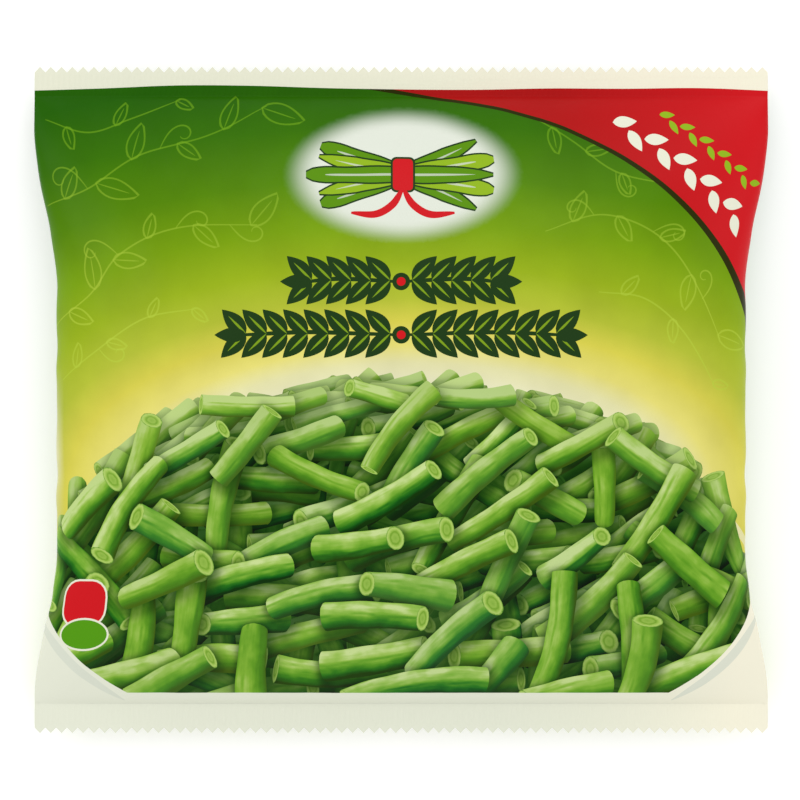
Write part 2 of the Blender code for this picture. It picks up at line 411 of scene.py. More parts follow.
def pod(middle, angle, length, width, bend, grow=0.0, steps=30):
    """A whole bean pod: a curved length with a stalk end and a drawn-out tip."""
    t = np.linspace(0, 1, steps)
    turned = angle + bend * (t - 0.5)
    step = length / (steps - 1)
    x = np.concatenate([[0], np.cumsum(np.cos(turned[1:]) * step)])
    y = np.concatenate([[0], np.cumsum(np.sin(turned[1:]) * step)])
    shape = np.interp(t, (0, 0.04, 0.12, 0.8, 0.94, 1), (0.3, 0.75, 0.95, 1, 0.45, 0.08))
    half = width / 2 * shape * (1 + 0.06 * np.sin(t * 7 * pi)) + grow
    across = np.stack([-np.sin(turned), np.cos(turned)], axis=1) * half[:, None]
    line = np.stack([x - x[steps // 2] + middle[0], y - y[steps // 2] + middle[1]], axis=1)
    return np.concatenate([line + across, (line - across)[::-1]])


def ring(outer, inner):
    """The band between two outlines, as one outline that runs round both."""
    return np.concatenate([outer, outer[:1], inner, inner[:1]])


def inside(outline, points):
    """Which points lie inside a closed outline."""
    found = np.zeros(len(points), bool)
    low, high = outline.min(0), outline.max(0)
    near = np.flatnonzero(((points >= low) & (points <= high)).all(axis=1))
    x, y = points[near].T
    odd = np.zeros(len(near), bool)
    for (ax, ay), (bx, by) in zip(outline, np.roll(outline, -1, axis=0)):
        if ay != by:
            odd ^= ((ay > y) != (by > y)) & (x < (bx - ax) * (y - ay) / (by - ay) + ax)
    found[near] = odd
    return found


class Patch:
    """One printed area, or a painted highlight: its outline, its ink and how far it covers, fixed
    or by the place.
    """

    def __init__(self, outline, colour, cover=1.0):
        self.outline = np.asarray(outline, float)
        self.colour = colour
        self.cover = cover

    def inks(self, points):
        if callable(self.colour):
            return self.colour(points)
        return np.tile(self.colour, (len(points), 1))

    def covers(self, points):
        if callable(self.cover):
            return self.cover(points)[:, None]
        return np.full((len(points), 1), self.cover)


# The printed heap of cut beans


class Bean:
    """A printed cut bean: a bent strip whose lit end shows its cut face as an ellipse."""

    def __init__(self, middle, angle, length, radius, tilt, bend, layer, seed):
        self.middle = np.array(middle)
        self.along = heading(angle)
        self.across = np.array((-self.along[1], self.along[0]))
        self.half = length / 2
        self.radius = radius
        self.end = radius * tilt
        self.turn = copysign(1, bend)
        self.curve = 1 / abs(bend)
        self.layer = layer
        self.seed = seed
        self.taper = 0.3 * (seed * 7.7 % 1 - 0.5)
        self.centre = self.middle + self.across * self.turn * self.curve
        self.light = float(self.across @ PRINT_LIGHT)

    def width(self, s):
        """How wide the bean is at s: it tapers, and swells over each seed."""
        swell = 0.025 * np.sin(s / self.radius * 1.8 + self.seed * 50)
        return self.radius * (1 + swell + self.taper * np.clip(s / self.half, -1, 1))

    def local(self, points):
        """Places along the bean, in mm from its middle, and across it, 1 at its edge."""
        d = points - self.centre
        s = self.curve * np.arctan2(d @ self.along, -self.turn * (d @ self.across))
        t = self.turn * (self.curve - np.linalg.norm(d, axis=1))
        return s, t / self.width(s)

    def place(self, s, t):
        s = np.asarray(s)
        angle = s / self.curve
        reach = self.curve - self.turn * np.asarray(t) * self.width(s)
        out = np.sin(angle)[:, None] * self.along
        out = out - self.turn * np.cos(angle)[:, None] * self.across
        return self.centre + reach[:, None] * out

    def beyond(self, points):
        """How far outside the bean points are, in mm: 0 inside."""
        s, t = self.local(points)
        cap = self.end * np.sqrt(unit(1 - t * t))
        return np.hypot(
            np.clip(np.abs(s) - self.half - cap, 0, None),
            np.clip(np.abs(t) - 1, 0, None) * self.radius,
        )

    def near(self, points, margin=0.0):
        reach = self.half + self.end + self.radius + margin
        return np.flatnonzero((np.abs(points - self.middle) < reach).all(axis=1))

    def cut_place(self, points):
        s, t = self.local(points)
        return (s - self.half) / self.end, t

    def outlines(self, cap_steps=8):
        """The edge all round, and the inner half of the cut face's rim."""
        steps = max(6, round(2 * self.half / EDGE_STEP))
        side = np.linspace(-self.half, self.half, steps)
        turn = np.linspace(-pi / 2, pi / 2, cap_steps + 1)
        far = self.place(-self.half - self.end * np.cos(turn), np.sin(turn))
        top = self.place(side[1:-1], np.ones(steps - 2))
        near = self.place(self.half + self.end * np.cos(turn), -np.sin(turn))
        under = self.place(side[-2:0:-1], -np.ones(steps - 2))
        rim = self.place(self.half - self.end * np.cos(turn), -np.sin(turn))
        return np.concatenate([far, top, near, under]), rim


def heap_top(u):
    """The height of the heap's upper edge: half an ellipse."""
    share = np.clip((u - HEAP_MIDDLE[0]) / HEAP_HALF, -1, 1)
    return HEAP_MIDDLE[1] + (HEAP_TOP - HEAP_MIDDLE[1]) * np.sqrt(1 - share**2)


def heap_scale(y):
    """Beans further back in the picture are smaller."""
    return float(np.interp(y, SIZE_LEVELS, SIZES))


def plate_edge(side, size, first, last, steps=40):
    """A stretch of the edge of the plate under the heap, between two angles below its middle."""
    points = []
    for angle in np.radians(np.linspace(first, last, steps)):
        x = PLATE_MIDDLE[0] + side * (PLATE_HALF[0] + size) * cos(angle)
        points.append(onto_film(x, PLATE_MIDDLE[1] - (PLATE_HALF[1] + size) * sin(angle)))
    return np.array(points)


def heap_floor_line():
    """The lower edge of the heap, from left to right: a level line with the plate's corners."""
    corner = degrees(asin((PLATE_MIDDLE[1] - HEAP_FLOOR) / PLATE_HALF[1]))
    return np.concatenate([plate_edge(-1, 0, 2, corner), plate_edge(1, 0, 2, corner)[::-1]])


def lay_heap(seed=21):
    """Printed beans in painting order: deep ones first, and near ones over far ones.

    Each layer has its spacing and a number of tries, and each lean its share of the beans, up to
    which the draw picks it, its mean angle and its spread.
    """
    draw = random.Random(seed)
    heap = []
    for layer, (spacing, tries) in enumerate(HEAP_LAYERS):
        laid = []
        for _ in range(tries):
            u = draw.uniform(-HEAP_SIDE, HEAP_SIDE)
            y = draw.uniform(LOWEST_BEAN, HEAP_TOP)
            if y > heap_top(u) - 3.2 - layer * 0.6:
                continue
            scale = heap_scale(y)
            if any(hypot(u - b.middle[0], y - b.middle[1]) < spacing * scale for b in laid):
                continue
            tilt = draw.choice(TILTS)
            radius = draw.uniform(*RADII) * scale
            length = draw.uniform(*LENGTHS) * scale * sqrt(1 - tilt**2)
            pick = draw.random()
            mean, spread = next((m, d) for share, m, d in LEANS if pick <= share)
            steep = float(np.interp(HEAP_TOP - y, (8, 30), (0.3, 1)))
            angle = draw.gauss(mean, spread) * steep + pi * (draw.random() < 0.5)
            bend = draw.uniform(*BENDS) * draw.choice((-1, 1)) / scale
            c, s = cos(angle), sin(angle)
            reach = abs(c) * (length / 2 + radius * tilt) + abs(s) * radius
            if abs(u) + reach > (HEAP_SIDE if y > -32 else HEAP_SIDE + 10):
                continue
            span = length / 2 * np.array((-1, 1))
            if (y + span * s > heap_top(u + span * c) + 1).any():
                continue
            bean = Bean((u, y), angle, length, radius, tilt, bend, layer, draw.random())
            laid.append(bean)
        laid.sort(key=lambda b: -b.middle[1] + draw.uniform(-22, 22))
        heap += laid
    return heap


def seen_outlines(heap):
    """The outlines of the beans, without what later beans and the pale floor hide, as edges."""
    starts, ends, order = [], [], []
    for i, bean in enumerate(heap):
        edge, rim = bean.outlines()
        starts += [edge, rim[:-1]]
        ends += [np.roll(edge, -1, axis=0), rim[1:]]
        order.append(np.full(len(edge) + len(rim) - 1, i))
    starts, ends, order = np.concatenate(starts), np.concatenate(ends), np.concatenate(order)
    middles = (starts + ends) / 2
    hidden = np.zeros(len(starts), bool)
    for j, bean in enumerate(heap):
        under = bean.near(middles)
        under = under[(order[under] < j) & ~hidden[under]]
        covered = np.ones(len(under), bool)
        for points in (starts, middles, ends):
            covered &= bean.beyond(points[under]) <= 0
        hidden[under[covered]] = True
    hidden |= np.maximum(starts[:, 1], ends[:, 1]) < HEAP_FLOOR - 1
    return starts[~hidden], ends[~hidden]


def heap_core():
    """The dark inside of the heap, which shows between beans."""
    turn = np.linspace(pi, 0, 60)
    u = HEAP_MIDDLE[0] + (HEAP_HALF - CORE_MARGIN[0]) * np.cos(turn)
    y = HEAP_MIDDLE[1] + (HEAP_TOP - CORE_MARGIN[1] - HEAP_MIDDLE[1]) * np.sin(turn)
    side = np.array([CORE_SHOULDER, (HEAP_SIDE, CORE_FLOOR)])
    return np.concatenate([np.stack([u, y], axis=1), side, side[::-1] * (-1, 1)])


# What is printed on the front, and a painted highlight on its left edge

CORNER_MIDDLE = (-4, 10)
CORNER_HALF = (108.5, 80.5)
CORNER_SPREAD = 1.55


def corner_point(angle, size, rise=1.0):
    """A place on the red corner's edge, made larger by size, put onto the flat film."""
    x = CORNER_MIDDLE[0] + (CORNER_HALF[0] + CORNER_SPREAD * size) * cos(angle)
    return onto_film(x, CORNER_MIDDLE[1] + (CORNER_HALF[1] + rise * size) * sin(angle))


def corner_patch(size, colour, steps=80):
    angles = [radians(81.5 - 81 * k / steps) for k in range(steps + 1)]
    arc = [corner_point(angle, size, 0.6) for angle in angles]
    out = [(HALF_FLAT + 2, arc[-1][1]), (HALF_FLAT + 2, SEAL_EDGE + 6), (-16, 94.2 + size)]
    return Patch(arc + out, colour)


def between(first, second, share):
    """From one ink to another, by a share for each point."""
    share = unit(share)[:, None]
    return first * (1 - share) + second * share


def reds(points):
    return between(DEEP_RED, RED, (points[:, 0] - 45) / 60)


def seal_whites(points):
    return between(WHITE, WARM_WHITE, points[:, 0] / 160 + 0.5)


def low_whites(points):
    return between(LOW_WHITE, WARM_WHITE, unit((points[:, 0] - 20) / 80) ** 2)


TOP_LINE = (92.8, 93.5, 94.4, 94.3, 93.6, 93.2, 93.1, 93.5, 93.4, 93.6, 92.7)
BACK_TOP_LINE = (93.0, 93.6, 93.4, 93.1, 93.7, 93.4, 93.2, 93.8, 93.3, 92.9, 93.4)
BACK_LOW_LINE = (90.3, 90.8, 90.4, 90.9, 90.6, 90.1, 90.5, 90.9, 90.6, 90.2, 90.7)


def seal_patch(side, edge, colour):
    """The unprinted band beyond a slightly wavy edge, which is given at even steps across."""
    ends = HALF_FLAT + 2
    line = curve(np.stack([np.linspace(-ends, ends, len(edge)), side * np.array(edge)], axis=1))
    far = side * (BAG_HEIGHT / 2 + 3)
    return Patch(np.concatenate([line, [(ends, far), (-ends, far)]]), colour)


def floor_patch():
    line = heap_floor_line()
    end = HALF_FLAT + 3
    low = [(end, line[-1][1]), (end, -BAG_HEIGHT), (-end, -BAG_HEIGHT), (-end, line[0][1])]
    return Patch(np.concatenate([line, low]), low_whites)


def rim_patches():
    """The pale rim of the plate, past the two lower corners of the heap."""
    return [Patch(ribbon(plate_edge(side, 2.6, 8, 41), 2.6, 0.1), PALE, 0.75) for side in (-1, 1)]


def painted_edge_highlight(points):
    """A painted highlight: pale ink for the soft light on the left edge of the film, beside the
    top of the heap.
    """
    u, y = points.T
    return 0.8 * unit((-103.5 - u) / 6) * unit(1 - np.abs(y + 16) / 26)


def line_inks(points):
    """Line colours a little lighter than the ground, which itself is lighter further down."""
    return between(LINE_GREEN, LINE_LIME, (78 - points[:, 1]) / 55)


def leaf_lines(root, angle, length):
    """A leaf drawn as an outline with a rib."""
    width = length * 0.42
    yield ring(leaf(root, angle, length, width, LINE_WIDTH), leaf(root, angle, length, width))
    rib = root + np.outer(np.linspace(0, 0.8, 6), heading(angle)) * length
    yield ribbon(rib, LINE_WIDTH * 0.8, 0.3)


def vine(stem, leaf_length, sides):
    """A stem with leaves drawn along it."""
    line = curve(stem)
    yield ribbon(line, LINE_WIDTH, 0.5)
    stops = np.linspace(8, len(line) - 2, len(sides)).astype(int)
    for stop, side in zip(stops, sides):
        ahead = line[stop] - line[stop - 1]
        angle = atan2(ahead[1], ahead[0]) + side * 0.85
        yield from leaf_lines(line[stop], angle, leaf_length * (0.8 + 0.2 * cos(stop)))


def tendril(start, angle, length, curl, steps=34):
    """A line that winds up as it grows."""
    line = [np.array(start, float)]
    for k in range(steps):
        angle += curl * (k / steps) ** 1.5
        line.append(line[-1] + heading(angle) * length / steps)
    return ribbon(line, LINE_WIDTH, 0.4)


def background_patches():
    """Tone on tone vines in the green: the same kind of line all over, in a layout of its own."""
    vines = (
        ([(-108, 58), (-92, 63), (-76, 73), (-56, 79), (-40, 88)], 13, (1, -1, 1, -1, 1, -1)),
        ([(-109, 22), (-94, 31), (-84, 43), (-66, 51), (-42, 52)], 12, (-1, 1, -1, 1, -1, 1)),
        ([(-106, 84), (-92, 80), (-80, 84), (-66, 90)], 9, (-1, 1, -1)),
        ([(-104, 6), (-92, 14), (-76, 24), (-60, 27)], 9, (1, -1, 1, -1)),
        ([(42, 50), (58, 55), (74, 50), (86, 38), (96, 18)], 12, (1, -1, 1, -1, 1)),
        ([(38, 85), (50, 77), (62, 68), (78, 64)], 10, (-1, 1, -1, 1)),
        ([(58, 32), (72, 30), (84, 20), (94, 4)], 9, (1, -1, 1)),
    )
    tendrils = (
        ((-92, 63), 2.2, 22, 0.42),
        ((-70, 75), 1.2, 18, -0.4),
        ((-84, 43), 2.4, 20, 0.4),
        ((-66, 51), 0.9, 18, -0.42),
        ((-50, 52), -0.9, 18, 0.42),
        ((-90, 15), -0.8, 15, 0.42),
        ((74, 50), 0.5, 18, -0.45),
        ((56, 55), 2.2, 15, 0.42),
        ((62, 68), -1.5, 16, 0.42),
        ((90, 30), 0.8, 16, 0.45),
    )
    lines = [line for each in vines for line in vine(*each)]
    lines += [tendril(*each) for each in tendrils]
    return [Patch(line, line_inks, LINE_COVER) for line in lines]


MEDALLION = (0.5, 67)
MEDALLION_HALF = (35, 21)


def medallion_glow(points):
    """White in the middle, fading into the green round it."""
    reach = np.hypot(*((points - MEDALLION) / MEDALLION_HALF).T)
    share = unit((1 - reach) / 0.32)
    return 0.97 * share * share * (3 - 2 * share)


def medallion_patches():
    """A pale glow with a sheaf of pods in it, tied round the middle by a red band."""
    yield Patch(ellipse(MEDALLION, MEDALLION_HALF, steps=60), MEDALLION_WHITE, medallion_glow)
    for k, colour in ((-2, MID_GREEN), (2, MID_GREEN), (-1, LIME), (1, LIME), (0, MID_GREEN)):
        angle = 0.2 * k + (pi if k % 2 else 0)
        length = 54 - 2.5 * abs(k)
        yield Patch(pod(MEDALLION, angle, length, 4.6, 0.1 * k, grow=0.5), DARK_GREEN)
        yield Patch(pod(MEDALLION, angle, length, 4.6, 0.1 * k), colour)
        yield Patch(pod(MEDALLION, angle, length * 0.8, 0.7, 0.08 * k), PALE, 0.7)
    yield Patch(rounded(MEDALLION, (3.5, 5.3), 1.6), DARK_GREEN)
    yield Patch(rounded(MEDALLION, (2.9, 4.7), 1.2), RED)
    for side in (-1, 1):
        stops = ((0, -4), (side * 3, -9), (side * 8, -12), (side * 15, -11.5))
        tail = curve([(MEDALLION[0] + x, MEDALLION[1] + y) for x, y in stops])
        yield Patch(ribbon(tail, 2.2, 0.3), RED)


def laurel_patches():
    """Two dark rows of leaves across the middle, each spreading from its centre."""
    for level, half, pairs in ((35, 34, 5), (19.2, 53, 8)):
        for side in (-1, 1):
            stem = np.array([(1.5, 0), (half * 0.5, 0.8), (half - 6, 0)]) * (side, 1) + (0, level)
            yield Patch(ribbon(curve(stem), 1.3, 0.6), DARK_GREEN)
            for k in range(pairs):
                root = (side * (3.2 + k * (half - 11) / (pairs - 1)), level + 0.4)
                for up in (-1, 1):
                    angle = up * 0.78 if side > 0 else pi - up * 0.78
                    yield Patch(leaf(root, angle, 10.2, 5.0), DARK_GREEN)
                    yield Patch(leaf(root, angle, 7.5, 0.7), LIME, 0.7)
            tip = (side * (half - 8), level)
            yield Patch(leaf(tip, 0 if side > 0 else pi, 9.5, 4.4), DARK_GREEN)
        yield Patch(ellipse((0, level), (2.6, 2.6)), DARK_GREEN)
        yield Patch(ellipse((0, level), (1.3, 1.3), steps=20), RED)


def corner_marks():
    """Two chains of leaves that follow the red corner's edge."""
    for size, marks, first, last, long, wide, colour in (
        (7.6, 10, 56, 31, 7.2, 3.5, WHITE),
        (15.2, 11, 52, 35, 4.6, 2.0, LIME),
    ):
        for k in range(marks):
            angle = radians(first + (last - first) * k / (marks - 1))
            root = corner_point(angle, size)
            ahead = corner_point(angle - 0.02, size)
            turn = atan2(ahead[1] - root[1], ahead[0] - root[0]) + 0.55 * (-1) ** k
            yield Patch(leaf(root, turn, long, wide), colour)


def badge_patches():
    """A small two-part badge low on the left, with nothing written on it."""
    middle = (across_film(-94.6, -60.6), -60.6)
    lower = (across_film(-94.9, -70), -70)
    return [
        Patch(rounded(middle, (7.6, 7.2), 5.4), WHITE),
        Patch(rounded(middle, (7.0, 6.6), 4.8), RED),
        Patch(ellipse(lower, (8.1, 5.0)), WHITE),
        Patch(ellipse(lower, (7.5, 4.4)), BADGE_GREEN),
    ]


def front_patches():
    """Flat print that lies over the beans, and under them, from the lowest to the highest; under
    them also lies a painted highlight on the film's left edge.
    """
    under = [*background_patches(), *medallion_patches(), *laurel_patches()]
    under += [corner_patch(0, OLIVE), corner_patch(1.45, reds), *corner_marks()]
    under.append(Patch(ribbon(plate_edge(1, 2.2, -36, -4), 2.6, 0.2), PLATE_GLOW_AND_EDGE_HIGHLIGHT, 0.55))
    # Painted highlight: pale ink where light falls on the film's left edge beside the heap's top
    under.append(Patch(rounded((-HALF_FLAT + 2, -16), (5, 26), 0.5), PLATE_GLOW_AND_EDGE_HIGHLIGHT, painted_edge_highlight))
    under.append(Patch(heap_core(), GAP))
    seal = seal_patch(1, TOP_LINE, seal_whites)
    return under, [floor_patch(), *rim_patches(), seal, *badge_patches()]


def back_grounds(points):
    """Lime at the bottom of the back, shading to dark green at its top."""
    share = unit(points[:, 1] / 190 + 0.5)
    stops = np.linspace(0, 1, len(BACK_INKS))
    return np.stack([np.interp(share, stops, BACK_INKS[:, k]) for k in range(3)], axis=1)


def back_patches():
    """The back: blank pale panels with plain rules either side of the fin."""
    whole = rounded((0, 0), (HALF_FLAT + 1, BAG_HEIGHT / 2 + 1), 0.5)
    patches = [Patch(whole, back_grounds), *background_patches()]
    for middle in (-55, 55):
        patches.append(Patch(rounded((middle, 2), (36, 60), 5), PANEL))
        for y in range(46, -43, -11):
            rule = np.array([(middle - 31, y), (middle + 31, y)])
            patches.append(Patch(ribbon(rule, 0.45), MID_GREEN, 0.7))
    strip = [(-9, -BAG_HEIGHT), (9, -BAG_HEIGHT), (9, BAG_HEIGHT), (-9, BAG_HEIGHT)]
    patches.append(Patch(strip, WHITE))
    top = seal_patch(1, BACK_TOP_LINE, seal_whites)
    return patches, [top, seal_patch(-1, BACK_LOW_LINE, low_whites)]


# Meshes


def grid_points(low_y, high_y, step):
    """Points of a triangle grid over the film, clear of its edges."""
    points = []
    rise = step * sqrt(3) / 2
    for j in range(int((high_y - low_y) / rise)):
        y = low_y + (j + 0.5) * rise
        u = np.arange(-HALF_FLAT + 0.7 + (j % 2) * step / 2, HALF_FLAT - 0.6, step)
        points.append(np.stack([u, np.full(len(u), y)], axis=1))
    return np.concatenate(points)


def film_outline():
    """The flat film's edge: zigzag at both ends, straight down both sides."""
    zigzag = [
        (-HALF_FLAT + k * CRIMP_PITCH, BAG_HEIGHT / 2 if k % 2 else TOOTH_ROOT)
        for k in range(2 * TOOTH_COUNT + 1)
    ]
    side = np.arange(-TOOTH_ROOT, TOOTH_ROOT, 1.4)[1:]
    left = [(-HALF_FLAT, y) for y in side]
    right = [(HALF_FLAT, y) for y in side[::-1]]
    bottom = [(u, -y) for u, y in reversed(zigzag)]
    return np.array(zigzag + right + bottom + left)


def triangulate(loops, edges, points):
    """Triangles inside the first loop and outside the others, with the edges kept.

    Places less than a thousandth of a millimetre apart are merged, so that no slit is left.
    """
    coords, wanted = [], []
    for loop in loops:
        first = len(coords)
        coords += [Vector(p) for p in loop]
        wanted += [(first + k, first + (k + 1) % len(loop)) for k in range(len(loop))]
    rim = len(coords)
    for start, end in edges:
        wanted.append((len(coords), len(coords) + 1))
        coords += [Vector(start), Vector(end)]
    coords += [Vector(p) for p in points]
    face = [list(range(len(loops[0])))]
    made, _, tris, origins, _, _ = delaunay_2d_cdt(coords, wanted, face, 1, 1e-4)
    flat = np.array([tuple(p) for p in made])
    tris = np.array(tris)
    a, b, c = flat[tris[:, 0]], flat[tris[:, 1]], flat[tris[:, 2]]
    middles = (a + b + c) / 3
    _, first, twin = np.unique(flat.round(3), axis=0, return_index=True, return_inverse=True)
    merged = first[twin.ravel()]
    tris = merged[tris]
    a, b, c = tris.T
    keep = (a != b) & (b != c) & (c != a) & inside(np.asarray(loops[0]), middles)
    for hole in loops[1:]:
        keep &= ~inside(np.asarray(hole), middles)
    placed = {old: merged[k] for k, olds in enumerate(origins) for old in olds if old < rim}
    used = np.unique(np.concatenate([tris[keep].ravel(), list(placed.values())]))
    renamed = np.zeros(len(flat), int)
    renamed[used] = np.arange(len(used))
    return flat[used], renamed[tris[keep]], {old: int(renamed[v]) for old, v in placed.items()}


def boundary_loops(tris):
    """The open edges of a triangle mesh, as loops of vertices."""
    used = dict.fromkeys(edge for a, b, c in tris.tolist() for edge in ((a, b), (b, c), (c, a)))
    after = {a: b for a, b in used if (b, a) not in used}
    loops = []
    while after:
        start, loop = next(iter(after)), []
        while start in after:
            loop.append(start)
            start = after.pop(start)
        loops.append(loop)
    return sorted(loops, key=len, reverse=True)


class Sheet:
    """The corner data that the film's material reads, for one printed sheet."""

    def __init__(self, flat, tris):
        self.corners = flat[tris].reshape(-1, 2)
        self.centres = flat[tris].mean(axis=1)
        self.owner = np.full(len(tris), -1)
        self.data = blank_data(len(self.corners))
        self.ink, self.bean, self.look, self.cut = self.data.values()
        self.ink[:] = 0

    def corner_ids(self, triangles):
        return (triangles[:, None] * 3 + np.arange(3)).ravel()

    def print_patch(self, patch):
        at = self.corner_ids(np.flatnonzero(inside(patch.outline, self.centres)))
        colour = patch.inks(self.corners[at])
        old, old_cover = self.ink[at, :3], self.ink[at, 3:]
        new_cover = patch.covers(self.corners[at])
        left = old_cover * (1 - new_cover)
        cover = np.maximum(new_cover + left, 1e-6)
        self.ink[at, :3] = (colour * new_cover + old * left) / cover
        self.ink[at, 3:] = new_cover + left
        self.look[at, 1] = 1
        self.look[at, 2] = 0

    def print_heap(self, heap):
        for i, bean in enumerate(heap):
            near = bean.near(self.centres)
            self.owner[near[bean.beyond(self.centres[near]) <= 0]] = i
        for i, bean in enumerate(heap):
            mine = np.flatnonzero(self.owner == i)
            if len(mine) == 0:
                continue
            at = self.corner_ids(mine)
            p, q = bean.cut_place(self.centres[mine])
            kind = np.where(p * p + q * q < 1, 2.0, 1.0)
            s, t = bean.local(self.corners[at])
            self.bean[at] = np.stack([s, np.clip(t, -1, 1), np.full(len(at), bean.seed)], axis=1)
            p, q = bean.cut_place(self.corners[at])
            u, y = self.corners[at].T
            fade = unit((y - heap_top(u) + FAR_DEPTH) / FAR_FADE) * unit((y + 60) / 40)
            self.cut[at] = np.stack([p, q, fade], axis=1)
            base = LAYER_LIGHT[bean.layer]
            self.look[at, 0] = bean.light
            self.look[at, 1] = base + (1 - base) * unit(fade * 1.6)
            self.look[at, 2] = np.repeat(kind, 3)

    def shade_heap(self, heap):
        """The shade that beans throw on what lies under them: far and soft, and close and dark."""
        order = np.repeat(self.owner, 3)
        dark = (order >= 0) | np.repeat(inside(heap_core(), self.centres), 3)
        lit = np.ones(len(order))
        for j, bean in enumerate(heap):
            near = bean.near(self.corners, SHADE_REACH)
            near = near[(order[near] < j) & dark[near]]
            for shift, reach, depth in SHADES:
                gap = bean.beyond(self.corners[near] + PRINT_LIGHT * shift)
                lit[near] *= 1 - depth * np.exp(-((gap / reach) ** 2))
        lit += (1 - lit) * FAR_SHADE_LIFT * self.cut[:, 2]
        self.look[:, 1] *= np.clip(lit, LEAST_LIGHT, 1)


def patch_edges(patches):
    """The outlines' edges in short lengths, so that no triangle bridges a bend in the film."""
    edges = []
    for patch in patches:
        for start, end in zip(patch.outline, np.roll(patch.outline, -1, axis=0)):
            count = max(1, ceil(dist(start, end) / EDGE_STEP))
            stops = start + np.outer(np.arange(count + 1) / count, end - start)
            edges += list(zip(stops[:-1], stops[1:]))
    return edges


def seal_points():
    """Close points that carry the ribs pressed into the seals."""
    u = np.arange(-HALF_FLAT + CRIMP_PITCH / 4, HALF_FLAT, CRIMP_PITCH / 4)
    rows = [side * (SEAL_EDGE + row) for side in (-1, 1) for row in SEAL_ROWS]
    return np.array([(x, y) for y in rows for x in u])


def blank_data(count):
    """The corner data of unprinted film."""
    return {
        "ink": np.tile([*WHITE, 1.0], (count, 1)),
        "bean": np.zeros((count, 3)),
        "look": np.tile([0.0, 1.0, 0.0], (count, 1)),
        "cut": np.zeros((count, 3)),
    }


def make_mesh(name, verts, faces, uv, normals, material, printed=None, rims=0):
    """A mesh whose first corners may be printed, and whose last faces may be rims."""
    mesh = bpy.data.meshes.new(name)
    mesh.from_pydata((verts * MM).tolist(), [], faces)
    corners = np.array([vertex for face in faces for vertex in face])
    corner_uv = uv[corners]
    corner_uv[len(corners) - 4 * rims :] = RIM_PLACE
    layer = mesh.uv_layers.new(name="OFBake")
    layer.data.foreach_set("uv", corner_uv.astype(np.float32).ravel())
    for label, values in blank_data(len(corners)).items():
        if printed:
            values[: len(printed[label])] = printed[label]
        kind = "color" if label == "ink" else "vector"
        layer = mesh.attributes.new(label, f"FLOAT_{kind.upper()}", "CORNER")
        layer.data.foreach_set(kind, values.astype(np.float32).ravel())
    mesh.polygons.foreach_set("use_smooth", [True] * len(faces))
    mesh.normals_split_custom_set_from_vertices(normals.tolist())
    mesh.materials.append(material)
    obj = bpy.data.objects.new(name, mesh)
    bpy.context.scene.collection.objects.link(obj)
    return obj


def printed_side(loops, patches, heap):
    """The triangles of a sheet's outer side, laid flat, with the corner data of its print."""
    under, over = patches
    edges = patch_edges(under + over)
    split = -SEAL_EDGE
    if heap:
        edges += list(zip(*seen_outlines(heap)))
        split = HEAP_TOP + 6
    edges = [e for e in edges if abs(e[0][1]) < BAG_HEIGHT / 2 and abs(e[0][0]) < HALF_FLAT + 3]
    points = [seal_points(), grid_points(split, SEAL_EDGE, COARSE_STEP)]
    if heap:
        points.append(grid_points(-SEAL_EDGE, split, HEAP_STEP))
    flat, tris, _ = triangulate(loops, edges, np.concatenate(points))
    sheet = Sheet(flat, tris)
    for patch in under:
        sheet.print_patch(patch)
    if heap:
        sheet.print_heap(heap)
        sheet.shade_heap(heap)
    for patch in over:
        sheet.print_patch(patch)
    return flat, tris, sheet.data


def film_sheet(name, face, facing, loops, patches, heap, material):
    """One face of the film: a printed outer side, a plain inner side and the rims between."""
    flat, tris, printed = printed_side(loops, patches, heap)
    rims = boundary_loops(tris)
    inner_points = np.concatenate([seal_points(), grid_points(-SEAL_EDGE, SEAL_EDGE, INNER_STEP)])
    inner_flat, inner_tris, placed = triangulate([flat[r] for r in rims], [], inner_points)

    outer, normal = face(*flat.T), facing * slope(face, *flat.T)
    inner, inner_normal = face(*inner_flat.T), facing * slope(face, *inner_flat.T)
    depth = np.minimum(HALF_FLAT - np.abs(inner_flat[:, 0]), SEAL_EDGE - np.abs(inner_flat[:, 1]))
    inner -= (FILM + INNER_ROOM * unit(depth))[:, None] * inner_normal

    first, count, rim_faces = len(flat), 0, []
    for rim in rims:
        for k in range(len(rim)):
            a, b = rim[k], rim[(k + 1) % len(rim)]
            c = first + placed[count + (k + 1) % len(rim)]
            d = first + placed[count + k]
            rim_faces.append((b, a, d, c) if facing > 0 else (a, b, c, d))
        count += len(rim)
    faces = tris[:, ::facing].tolist() + (inner_tris[:, ::-facing] + first).tolist() + rim_faces
    for part in printed.values():
        part[:] = part.reshape(-1, 3, part.shape[1])[:, ::facing].reshape(part.shape)
    inner_uv = inner_flat / PRINT_TILE * INNER_SQUEEZE + INNER_MIDDLE
    uv = np.concatenate([flat / PRINT_TILE + PRINT_MIDDLE, inner_uv])
    verts, normals = np.concatenate([outer, inner]), np.concatenate([normal, -inner_normal])
    return make_mesh(name, verts, faces, uv, normals, material, printed, len(rim_faces))


